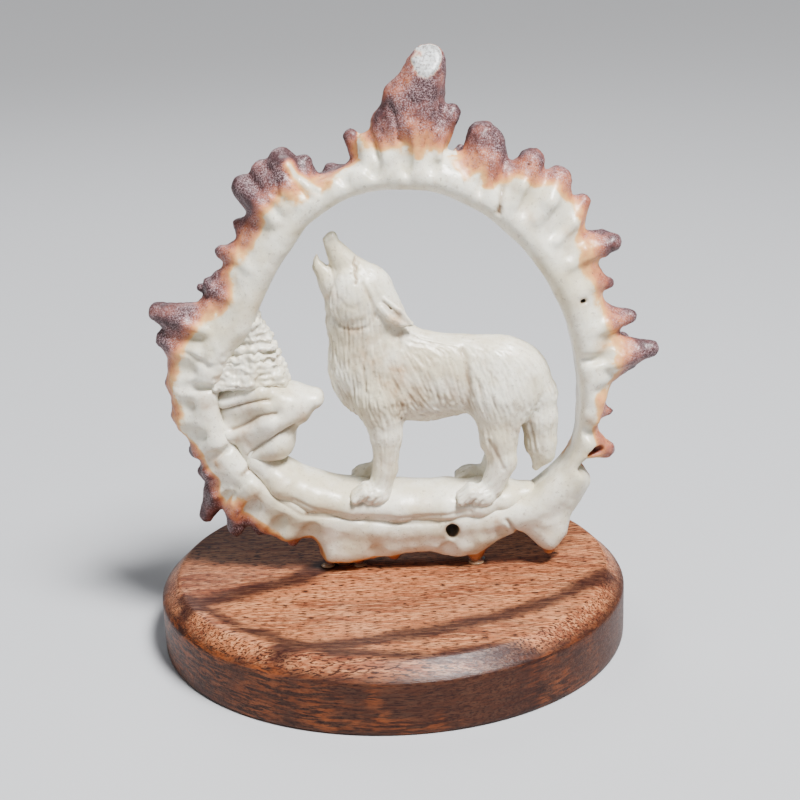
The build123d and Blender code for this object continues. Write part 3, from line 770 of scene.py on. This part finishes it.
# ---- wolf
# strokes along the coat: start x, z, end x, z
FUR = [
    (-10.4, 87, -8, 83), (-8.6, 86, -5.4, 80), (-12.6, 83, -10.8, 78.4), (-7, 84.5, -3, 79),
    (-3.5, 81.5, 1.5, 75.5), (-6.4, 79, -6.6, 71), (-8.8, 78, -9.6, 72), (-3.4, 78, -2.8, 71),
    (0.5, 76, 3.2, 70.5), (-11, 74, -11, 64), (-6, 69, -6.2, 60), (-2, 69.5, -2.4, 62), (2.4, 69.5, 1.6, 63),
    (5.4, 68, 8.6, 64.4), (-10, 61, -8, 55), (-6.4, 60, -5.2, 53), (-2.6, 60, -3.6, 54.6),
    (-3.4, 54, -1.4, 47), (-1.4, 60.6, 1.6, 51), (1.6, 62.6, 5.6, 54), (4.2, 57, 8.6, 49),
    (8.6, 62, 11.4, 53), (12.6, 62.4, 15.4, 52.8), (8, 66, 20, 65.6), (21, 65.4, 30, 62),
    (16.2, 64, 17.6, 55), (18.4, 62.4, 21.8, 52), (21.4, 62.4, 24.6, 52), (25.6, 62, 28.2, 53),
    (18.8, 53, 22.6, 43.8), (23.6, 52, 24.6, 43), (22.8, 43, 22.4, 37), (-0.4, 48, -0.8, 38),
    (-2.4, 46, -1.8, 38), (1.4, 47, 0.4, 38), (30, 61, 33.6, 54), (32.4, 56, 33.4, 46), (29.6, 50, 31, 42),
    (33.8, 46, 33.2, 39), (31.6, 42, 31.8, 36.6), (-1.6, 36, -6.4, 33.4), (21.6, 35, 16.6, 32.6),
    (6, 48.6, 14, 48.8),
]
# centre lines of the ear, its rim and its hollow: x, y, z, radius
EAR = [(-0.1, -4.3, 73.6, 1), (1.6, -4.5, 71.8, 1.25), (3.9, -4.3, 70.5, 0.95), (5.8, -3.7, 69.8, 0.42)]
EAR_RIM = [(0.5, -3.8, 75.4, 0.5), (3.4, -4.1, 73, 0.65), (5.8, -3.7, 70, 0.42)]
EAR_HOLLOW = [(0.3, -5.2, 74.7, 0.6), (2.5, -5.5, 72.7, 0.95), (4.8, -4.9, 70.7, 0.5)]
# x, z, size, how strong the fur is there
COAT = [
    (-7, 64, 9, 0.9), (-1, 56, 7, 1), (9, 56, 8, 0.85), (20.5, 56, 4, 1), (26, 52, 6, 0.45),
    (-5, 76, 5, 0.28), (0, 43, 4, 0.5), (23.5, 43, 4, 0.5), (33, 50, 5, 0.7), (32, 39, 4, 0.5),
    (14, 64, 5, 0.22), (26, 61, 5, 0.3), (-9, 85, 4, 0.16), (1, 78, 4, 0.2), (-4, 33.5, 3, 0.45),
    (19, 32.5, 3, 0.45), (4, 67, 4, 0.4),
]
# the lower edge of the cheek's fur, and the closed eye, x and z
RUFF = [
    (-10.2, 72.6), (-9.5, 71), (-8.4, 69.9), (-6.7, 69.4), (-4.7, 69.4), (-3.2, 70), (-2, 71.2), (-1.6, 72.4),
]
EYE = [(-4.8, 84.2), (-5.5, 82.7), (-5, 81.8), (-5.3, 80.9), (-4.9, 80), (-5.2, 79.2)]
# line, width, depth of the grooves on both flanks; the depth also sets the painted shade in them
MARKS = [
    (EYE, 0.26, 0.5),
    ([(-4.2, 83.4), (-4.9, 82.4)], 0.4, 0.25),
    ([(-3.6, 79), (-2.8, 77.2), (-2.2, 75.7), (-1.7, 73.8), (-1.4, 72)], 0.45, 0.4),
    ([(-10.4, 82), (-9.8, 80.3), (-9.3, 78), (-9, 75.4)], 0.3, 0.14),
    ([(-8.4, 76), (-7.2, 74.5), (-5.6, 74.2), (-4.6, 75)], 0.5, 0.15),
    ([(16.1, 64), (16.7, 62.3), (17.1, 57.9), (16.8, 53.6), (16.9, 51)], 0.6, 0.34),
    ([(-9.7, 87.6), (-10.8, 86.8)], 0.25, 0.15),
    ([(21.2, 44.6), (22.8, 41.4), (24, 38.6)], 0.5, 0.3),
    ([(2.2, 57), (3.2, 52.5), (3.4, 48.6)], 0.7, 0.3),
    (RUFF, 0.4, 0.3),
    ([(29.6, 47.8), (30.6, 44.6), (31, 41)], 0.4, 0.25),
]
# x, z, size, amount
WOLF_STAINS = [
    (-1.5, 62, 3.4, 0.30), (2.6, 59.5, 2.6, 0.55), (4.6, 55, 3.2, 0.42), (-4, 66, 3.6, 0.22),
    (3, 68.5, 1.8, 0.3), (9, 50, 4.5, 0.22), (14, 57, 4, 0.16), (-11, 76.5, 1.6, 0.4), (16.8, 55, 2.2, 0.25),
    (-6, 69, 2.2, 0.3), (27, 47, 2.4, 0.22), (22, 41, 2.4, 0.2), (0, 41, 2.6, 0.12), (2.6, 72, 1.6, 0.7),
    (7, 63, 3, 0.2),
]
# the middle of the near fore paw and hind paw, x and z
PAWS = ((-3.4, 33.4), (18.9, 32.4))
MAP_CELL = 0.5
FUR_STEP = 0.3


def lie_of_fur(x, z):
    """Direction of the coat at x, z, an angle that is the same for both ways along a stroke."""
    c, s = np.zeros(x.shape), np.zeros(x.shape)
    for ax, az, bx, bz in FUR:
        d = line_distance(x, z, [(ax, az), (bx, bz)])
        w = bell(d, 2.4) + 0.02 / (1 + d**2)
        double = 2 * math.atan2(bz - az, bx - ax)
        c += w * math.cos(double)
        s += w * math.sin(double)
    return np.arctan2(s, c) / 2


def along_fur(v, size, length, seed):
    """Noise drawn out along the lie of the coat."""
    columns, rows = np.arange(-16, 40, MAP_CELL), np.arange(27, 92, MAP_CELL)
    way = lie_of_fur(*np.meshgrid(columns, rows, indexing="ij"))
    total = noise(v, size, seed)
    for sign in (1, -1):
        p = v.copy()
        last = None
        for i in range(int(length / FUR_STEP)):
            column = ((p[:, 0] - columns[0]) / MAP_CELL).round().astype(int)
            row = ((p[:, 2] - rows[0]) / MAP_CELL).round().astype(int)
            a = way[np.clip(column, 0, len(columns) - 1), np.clip(row, 0, len(rows) - 1)]
            d = np.stack([np.cos(a), np.zeros(len(a)), np.sin(a)], 1)
            if last is None:
                d = d * np.sign(d[:, 2] + 1e-9)[:, None] * sign
            else:
                d = d * np.sign((d * last).sum(1) + 1e-9)[:, None]
            last = d
            p = p + d * FUR_STEP
            total = total + noise(p, size, seed)
    return total / total.std()


def engrave(v, n, points, width, depth):
    """How far to sink the surface under a line, on both flanks."""
    d = line_distance(v[:, 0], v[:, 2], points)
    return depth * bell(d, width) * step(0.15, 0.5, np.abs(n[:, 1]))


def torso(field):
    """Chest, belly, rump, neck and withers."""
    for centre, radii, tilt in (
        ((-1.9, 0, 58.6), (9.4, 5.4, 10.4), 8), ((7, 0, 57.4), (12, 5.9, 9.7), -4),
        ((15, 0, 57.7), (12, 5.5, 8.6), 2), ((24, 0, 57.6), (9.6, 5.2, 8.2), -12),
        ((27.4, 0, 55.9), (6.4, 4.5, 7.2), -20),
    ):
        field.ball(centre, radii, tilt, 2)
    field.cone((-2.6, 0, 61), (-4, 0, 70.5), 8.8, 7.6, 2, 0.63)
    field.cone((-4, 0, 70.5), (-4.3, 0, 76), 7.4, 5.7, 1.5, 0.68)
    field.cone((3.5, 0, 66), (8.5, 0, 62.5), 3.4, 3.6, 2, 0.9)


def head(field):
    """Skull, nape, muzzle, nose and lower jaw, with the open mouth carved between."""
    field.ball((-3.9, 0, 75.8), (5.6, 4.6, 6.2), 0, 1.2)
    field.cone((-2.6, 0, 76.4), (0, 0, 70.2), 4.5, 4.4, 1.5, 0.85)
    field.cone((-6.7, 0, 80.9), (-10.2, 0, 86.7), 3.4, 1.62, 1.6, 0.86)
    field.ball((-9.7, 0, 87.95), (0.95, 0.9, 1), 0, 0.9)
    field.cone((-9.4, 0, 74), (-10, 0, 78.2), 2.4, 2.7, 1.2, 1.1)
    field.cone((-10, 0, 78.2), (-12.7, 0, 81.6), 2.7, 1.4, 1.2, 0.95)
    field.cone((-12.5, 0, 81.4), (-13.1, 0, 83), 1.15, 0.68, 0.5, 1.1)
    field.cone((-13.1, 0, 83), (-12.95, 0, 84.1), 0.62, 0.34, 0.3, 1.1)
    field.cone((-11.1, 0, 82.2), (-11.75, 0, 83.4), 0.45, 0.8, 0.2, 5, True)
    field.cone((-11.75, 0, 83.4), (-12.55, 0, 86.4), 0.8, 1.05, 0.2, 5, True)


def one_side(field, y):
    """Cheek, ear, shoulder, hip and legs of one side, the front for y -1 and the back for y 1."""
    field.ball((-5.9, 3.5 * y, 75), (4.9, 2.4, 5.7), 6, 0.4)
    field.ball((-6.6, 2.8 * y, 78.2), (2.4, 1.6, 3.2), 25, 1.2)
    dx, dz = (-1.0, -1.4) if y > 0 else (0, 0)
    for line, k, carve in ((EAR, 0.4, False), (EAR_RIM, 0.4, False), (EAR_HOLLOW, 0.25, True)):
        for (ax, ay, az, ar), (bx, by, bz, br) in zip(line, line[1:]):
            field.cone((ax + dx, -ay * y, az + dz), (bx + dx, -by * y, bz + dz), ar, br, k, 1, carve)
    field.ball((-0.6, 3.4 * y, 57.4), (5.6, 2.7, 9.2), -6, 1.6)
    field.ball((24.4, 3.1 * y, 54.4), (6.6, 2.5, 8.4), 10, 2.4)
    field.cone((-1, 3.6 * y, 53.4), (-0.2, 3.9 * y, 46), 5.3, 3.3, 1.8, 0.74)
    field.cone((-0.2, 3.9 * y, 46), (-0.6, 4.0 * y, 38.5), 3.2, 2.45, 0.8, 0.86)
    field.cone((-0.6, 4.0 * y, 38.5), (-1.9, 4.2 * y, 34.4), 2.45, 2.5, 0.8, 0.9)
    field.cone((23.6, 3.3 * y, 53), (23.3, 3.7 * y, 44.4), 6.2, 3.75, 2.4, 0.6)
    field.cone((23.3, 3.7 * y, 44.4), (24.1, 4.0 * y, 39.4), 3.6, 2.8, 1.2, 0.78)
    field.cone((24.1, 4.0 * y, 39.4), (21.8, 4.2 * y, 34), 2.8, 2.5, 0.9, 0.88)


def paws(field):
    """Four paws with four toes each; the far ones show a little behind the near ones."""
    near, far = -5.0, 4.6
    toes = (-1.5, -0.5, 0.5, 1.5)
    for x, z in PAWS:
        field.ball((x + 0.1, near, z - 0.2), (3.5, 2.7, 2.5), -6, 0.9)
        for toe in toes:
            high = 0.25 * (2.25 - toe * toe)
            knuckle = (x - 1.6, near + toe * 1.3, z + 0.9 + high)
            tip = (x - 3.7 - 0.4 * high, near + toe * 1.4, z - 0.6 + high)
            field.cone(knuckle, tip, 1.15, 1, 0.5)
        field.ball((x - 0.8, far, z + 0.9), (3.7, 2.5, 2.1), -4, 0.8)
        for toe in toes:
            knuckle, tip = (x - 1.8, far + toe * 1.1, z + 1.2), (x - 4, far + toe * 1.2, z + 0.4)
            field.cone(knuckle, tip, 1.1, 0.9, 0.3)


def tail(field):
    """The hanging tail, after the gap between it and the hind legs is carved."""
    field.ball((28.6, 0, 44.6), (1.1, 9, 3.9), 4, 0.4, True)
    field.cone((29.3, 0, 57), (32.2, 0, 53), 4, 3.5, 1.6, 0.85)
    field.cone((32.2, 0, 53), (32, 0, 47.5), 3.5, 3.75, 1, 0.82)
    field.cone((32, 0, 47.5), (32.4, 0, 41.8), 3.75, 3.35, 1, 0.82)
    field.cone((32.4, 0, 41.8), (32.7, 0, 39.4), 3.2, 2.5, 0.8, 0.8)
    field.cone((32.7, 0, 39.4), (31.3, 0, 36.4), 2.4, 0.9, 0.8, 0.8)


def wolf():
    """The howling wolf with its coat."""
    field = Field((-15.5, -8.8, 28), (38, 8.2, 91), 0.264)
    torso(field)
    head(field)
    one_side(field, -1)
    one_side(field, 1)
    paws(field)
    tail(field)
    v, quads = field.mesh()
    v = settle(v, quads, 1)
    n = normals(v, quads)
    x, z = v[:, 0], v[:, 2]
    weight, total = np.full(len(v), 0.05), np.full(len(v), 0.01)
    for cx, cz, size, amount in COAT:
        w = np.exp(-((x - cx) ** 2 + (z - cz) ** 2) / size**2)
        weight += w
        total += w * amount
    strength = total / weight
    coat = 0.3 * along_fur(v, 0.9, 2.4, 21) + 0.85 * along_fur(v, 0.40, 2.2, 22)
    sunk = sum(engrave(v, n, points, width, depth) for points, width, depth in MARKS)
    for px, pz in PAWS:
        for right, down in ((0, 0), (1.4, 0.5), (2.9, 0.8)):
            toe = [(px - 3.3, pz - 1.8), (px - 3.0, pz - 0.5), (px - 2.2, pz + 0.5)]
            sunk += engrave(v, n, np.array(toe) + (right, -down), 0.26, 0.24)
    for tuft in np.arange(-8.9, -2.0, 0.85):
        sunk += engrave(v, n, [(tuft + 0.25, 71.6), (tuft, 69.8)], 0.2, 0.16)
    v = push(v, n, 0.12 * strength * coat - sunk)
    # painted shade in the furrows of the coat and in the engraved lines
    cavity = np.clip(0.30 * strength * np.clip(-coat - 0.2, 0, 2) + sunk, 0, 0.8)
    # painted shade along the closed eye and in the ear's hollow
    eye = bell(line_distance(x, z, EYE), 0.24) * (np.abs(n[:, 1]) > 0.3)
    hollow = bell(line_distance(x, z, [(0.3, 74.6), (5, 70.3)]), 0.6) * (np.abs(v[:, 1]) > 3.4)
    cavity = np.maximum(np.maximum(cavity, 0.85 * eye), 0.5 * hollow)
    stain = soft_values(v, WOLF_STAINS)
    make("wolf", v, quads.tolist(), CARVED, "wolf", "antler_carved", stain=stain, cavity=cavity)


# ---- plinth, screws, glue
# dark bands in the wood seen from above: line x, y, half width
BANDS = [
    ([(-44, -20), (-34, -14), (-20, -7), (-12, 2), (-7, 12), (-4, 24)], 3),
    ([(-22, -38), (-8, -37), (6, -33), (22, -27), (36, -18), (46, -8)], 2.3),
    ([(-44, -14), (-30, -29), (-12, -40), (8, -43), (28, -38)], 1.6),
]
# how far in from the widest outline, z: the underside, its worn edge, the side, the bevel and the top
PROFILE = [
    (8, 0), (1.2, 0), (0.35, 0.12), (0.06, 0.5), (0, 1.2), (0, 3), (0, 5), (0, 7), (0, 9), (0, 10.4),
    (0.03, 11), (0.22, 11.35), (0.7, 11.8), (1.4, 12.5), (2.2, 13.3), (2.9, 14), (3.35, 14.45), (3.8, 14.75),
    (4.4, 14.93), (5.2, WOOD_TOP),
]


def plinth():
    """The oval plinth with rounded bevel edges."""
    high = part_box("wood_plinth")[1]
    half_x, half_y = high.x / MM - 0.01, high.y / MM - 0.01
    height = high.z / MM - 0.005
    profile = PROFILE + [(inset, WOOD_TOP) for inset in np.linspace(6.4, 46.3, 34)]
    around = 256
    angles = np.linspace(0, 2 * math.pi, around, endpoint=False)
    rings = []
    for inset, z in profile:
        x, y = (half_x - inset) * np.cos(angles), (half_y - inset) * np.sin(angles)
        rings.append(np.stack([x, y, np.full(around, min(z, height))], 1))
    v = np.concatenate(rings)
    faces = []
    for i in range(len(profile) - 1):
        for j in range(around):
            here, beside = i * around + j, i * around + (j + 1) % around
            faces.append((here, beside, beside + around, here + around))
    faces.append(list(range(around))[::-1])
    faces.append(list(range(len(v) - around, len(v))))
    x, y = v[:, 0], v[:, 1]
    band = 0.6 * step(0.2, -1.4, x * 0.02 + 0.3 - y * 0.03) * (x < 0)
    for line, width in BANDS:
        across = line_distance(x, y, line)
        across = across + 0.7 * noise(v * np.array([0.25, 1, 1]), 1.6, 41) + 0.5 * noise(v, 5.0, 42)
        band += np.exp(-((across / width) ** 4))
    # side marks the faces below the bevel, which the wood paints darker as painted shade
    band, side = np.clip(band, 0, 1), step(13.4, 11.4, v[:, 2])
    piece = make("plinth", v, faces, WOOD, "wood_plinth", "hardwood", band=band, side=side)
    for end in list(piece.data.polygons)[-2:]:
        end.use_smooth = False


def glue():
    """Beads of epoxy at the ring's feet."""
    field = Field((-18, -7, 14.4), (23, 2, 17), 0.2)
    for x, y, r, h in ((-13.9, -0.9, 1.7, 0.5), (-6.9, -1.0, 1.6, 0.45), (18.2, -1.2, 1.9, 0.5)):
        field.ball((x, y, WOOD_TOP), (r, r * 0.9, h), 0, 0.3)
    field.rest_on(WOOD_TOP + 0.01)
    v, quads = field.mesh()
    make("glue", v, quads.tolist(), EPOXY, "epoxy_beads", "epoxy")


ring()
ledge()
rocks()
fir()
wolf()
plinth()
glue()
for name in ("mounting_screw_left", "mounting_screw_right"):
    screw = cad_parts[name]
    screw.data.materials.clear()
    screw.data.materials.append(STEEL)

# ---- stage
bpy.ops.mesh.primitive_plane_add(size=6, location=(0, 0, 0))
floor = bpy.context.object
floor.name = "floor"
floor.data.materials.append(plain_material("floor", (0.46, 0.46, 0.47), 0.9))


def lamp(name, kind, where, target, power, colour=(1, 1, 1)):
    """A lamp at one place that shines towards another, both in metres."""
    data = bpy.data.lights.new(name, kind)
    data.energy, data.color = power, colour
    holder = bpy.data.objects.new(name, data)
    holder.location = where
    holder.rotation_euler = (Vector(target) - Vector(where)).to_track_quat("-Z", "Y").to_euler()
    show(holder)
    return data


MIDDLE = (0, 0, 0.06)
for name, where, size, power, colour in (
    ("key", (0.24, -0.28, 0.66), (0.22, 0.22), 7.0, (0.965, 0.985, 1.0)),
    ("fill", (-0.55, -0.40, 0.22), (0.4, 0.4), 1.2, (0.97, 0.99, 1.0)),
    ("rim", (-0.20, 0.45, 0.55), (0.4, 0.3), 1.3, (0.93, 0.96, 1.0)),
):
    soft = lamp(name, "AREA", where, MIDDLE, power, colour)
    soft.shape = "RECTANGLE"
    soft.size, soft.size_y = size
lamp("sun", "SUN", (0.24, -0.28, 0.66), (0, 0, 0), 2.9).angle = math.radians(12)
bpy.context.scene.view_settings.look = "AgX - Medium High Contrast"
world = bpy.data.worlds.new("world")
world.use_nodes = True
sky = world.node_tree.nodes["Background"]
sky.inputs["Color"].default_value = (0.80, 0.82, 0.85, 1)
sky.inputs["Strength"].default_value = 0.13
bpy.context.scene.world = world

camera_data = bpy.data.cameras.new("camera")
camera_data.lens, camera_data.sensor_width = 72, 36
camera = bpy.data.objects.new("camera", camera_data)
eye = Vector((0.006531, -0.316837, 0.163125))
target = Vector((0.00288, 0, 0.0523))
aim = (target - eye).to_track_quat("-Z", "Y").to_matrix().to_4x4()
roll = Matrix.Rotation(math.radians(-1.98), 4, "Z")
camera.matrix_world = Matrix.Translation(eye) @ aim @ roll
show(camera)
bpy.context.scene.camera = camera
